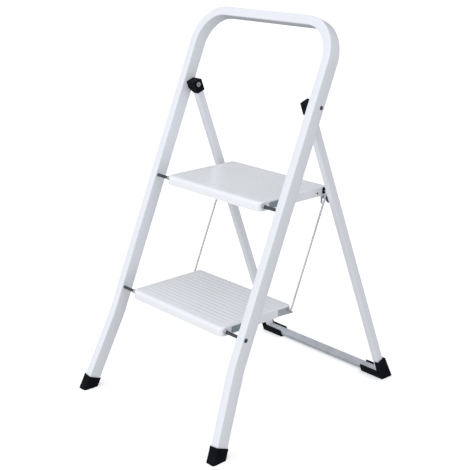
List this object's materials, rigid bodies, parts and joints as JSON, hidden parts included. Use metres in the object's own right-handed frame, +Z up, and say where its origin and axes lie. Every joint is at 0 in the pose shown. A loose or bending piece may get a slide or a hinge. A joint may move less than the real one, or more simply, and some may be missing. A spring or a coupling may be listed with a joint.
{
  "type": "step stool",
  "caption": "Folding steel step stool with a hoop handrail, ribbed treads, a hinged rear frame and link rods.",
  "frame": {"origin": "on the floor, below the centre of the box around the open stool", "axes": "+Z up, -Y towards the user who climbs the treads, +X to the stool's right as seen by that user"},
  "size_m": [0.4838, 0.5836, 0.8494],
  "materials": {
    "white_coat": "semi-gloss white powder coat",
    "tread_coat": "semi-gloss white powder coat on ribbed sheet",
    "black_plastic": "moulded, fine grain",
    "dark_steel": "dark phosphated steel",
    "galvanized": "dull galvanised steel",
    "blued_steel": "blued steel",
    "zinc": "zinc plated"
  },
  "bodies": {
    "front": {"front_frame": "white_coat", "front_foot_left": "black_plastic", "front_foot_right": "black_plastic", "pivot_rivet_left": "zinc", "pivot_rivet_right": "zinc", "lower_axle": "dark_steel", "upper_axle": "dark_steel", "lower_collar_left": "zinc", "lower_collar_right": "zinc", "upper_collar_left": "zinc", "upper_collar_right": "zinc"},
    "rear": {"rear_leg_left": "white_coat", "rear_leg_right": "white_coat", "rear_bar": "galvanized", "pivot_cap_left": "black_plastic", "pivot_cap_right": "black_plastic", "rear_shoe_left": "black_plastic", "rear_shoe_right": "black_plastic", "rest_hook_left": "dark_steel", "rest_hook_right": "dark_steel"},
    "upper_step": {"upper_tread": "tread_coat", "upper_plate_left": "blued_steel", "upper_plate_right": "blued_steel", "upper_bracket_left": "galvanized", "upper_bracket_right": "galvanized", "upper_bracket_rivets": "dark_steel", "rod_clip_left": "black_plastic", "rod_clip_right": "black_plastic"},
    "lower_step": {"lower_tread": "tread_coat", "lower_plate_left": "blued_steel", "lower_plate_right": "blued_steel", "lower_bracket_left": "galvanized", "lower_bracket_right": "galvanized"},
    "rod_left": {"link_rod_left": "zinc"},
    "rod_right": {"link_rod_right": "zinc"}
  },
  "joints": [
    {"name": "rear_fold", "type": "hinge", "parent": "front", "child": "rear", "pos_m": [0, 0.0252, 0.67685], "axis": [-1, 0, 0], "range_deg": [0, 41]},
    {"name": "upper_step_fold", "type": "hinge", "parent": "front", "child": "upper_step", "pos_m": [0, -0.07484, 0.47844], "axis": [1, 0, 0], "range_deg": [0, 63.55]},
    {"name": "lower_step_fold", "type": "hinge", "parent": "front", "child": "lower_step", "pos_m": [0, -0.18077, 0.23248], "axis": [1, 0, 0], "range_deg": [0, 63.55]},
    {"name": "rod_left_turn", "type": "hinge", "parent": "upper_step", "child": "rod_left", "pos_m": [0, 0.10266, 0.47844], "axis": [-1, 0, 0], "range_deg": [0, 63.55]},
    {"name": "rod_right_turn", "type": "hinge", "parent": "upper_step", "child": "rod_right", "pos_m": [0, 0.10266, 0.47844], "axis": [-1, 0, 0], "range_deg": [0, 63.55]}
  ],
  "couplings": [
    {"joint": "upper_step_fold", "follows": "rear_fold", "ratio": 1.55},
    {"joint": "lower_step_fold", "follows": "rear_fold", "ratio": 1.55},
    {"joint": "rod_left_turn", "follows": "rear_fold", "ratio": 1.55},
    {"joint": "rod_right_turn", "follows": "rear_fold", "ratio": 1.55}
  ]
}
